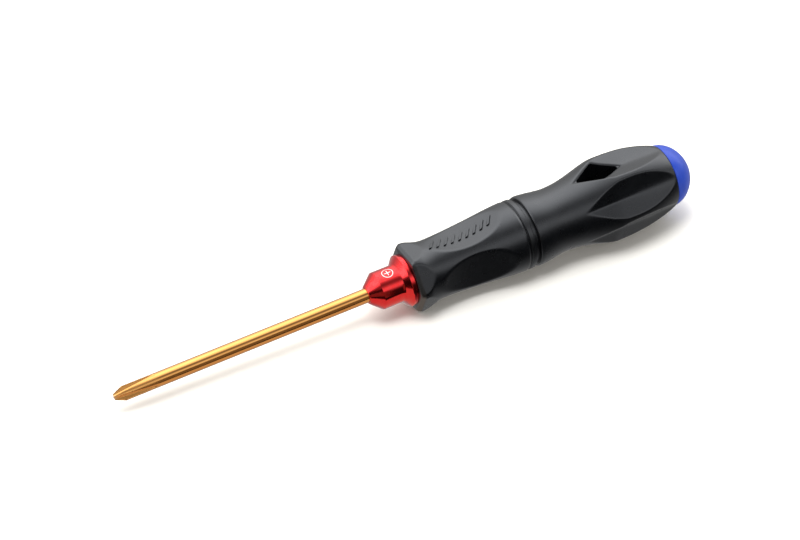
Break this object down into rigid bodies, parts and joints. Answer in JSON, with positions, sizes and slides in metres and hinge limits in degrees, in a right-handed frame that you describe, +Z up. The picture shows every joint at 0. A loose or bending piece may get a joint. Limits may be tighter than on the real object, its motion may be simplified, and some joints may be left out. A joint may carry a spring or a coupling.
{
  "type": "phillips hobby screwdriver",
  "caption": "Slim cross-point hand driver: gold round blade clamped in a red collar, two-piece black moulded grip with finger flats, scallops and hanging hole, spinning blue palm cap.",
  "frame": {"origin": "centre of the blade's blunt tip, on the tool's long axis", "axes": "+X runs along the axis from the tip to the palm cap, +Z is up through the scallop with the hanging hole, +Y completes the set"},
  "size_m": [0.2159, 0.03, 0.027],
  "materials": {
    "blade_gold": "titanium-nitride gold on ground and polished steel",
    "collar_red": "red anodised, fine turned",
    "screw_black": "black oxide",
    "core_steel": "machined",
    "key_steel": "ground",
    "grip_black": "satin moulded, slightly soft",
    "ring_black": "satin moulded",
    "insert_brass": "machined",
    "plug_plastic": "moulded",
    "bush_bronze": "sintered bronze",
    "washer_steel": "flat ground",
    "cap_blue": "semi-gloss moulded"
  },
  "bodies": {
    "handle": {"collar": "collar_red", "core_sleeve": "core_steel", "core_keys": "key_steel", "front_grip": "grip_black", "joint_ring": "ring_black", "rear_insert": "insert_brass", "rear_grip": "grip_black", "end_plug": "plug_plastic", "cap_bush": "bush_bronze", "clip_washer": "washer_steel"},
    "blade_rod": {"blade": "blade_gold"},
    "screw": {"clamp_screw": "screw_black"},
    "cap": {"end_cap": "cap_blue", "cap_spindle": "key_steel", "cap_clip": "screw_black"}
  },
  "joints": [
    {"name": "cap_spin", "type": "hinge", "parent": "handle", "child": "cap", "pos_m": [0.2, 0, 0], "axis": [1, 0, 0], "continuous": true},
    {"name": "blade_out", "type": "slide", "parent": "handle", "child": "blade_rod", "axis": [-1, 0, 0], "range_m": [0, 0.03]},
    {"name": "clamp_screw_out", "type": "slide", "parent": "handle", "child": "screw", "axis": [0, 0, -1], "range_m": [0, 0.004]}
  ]
}
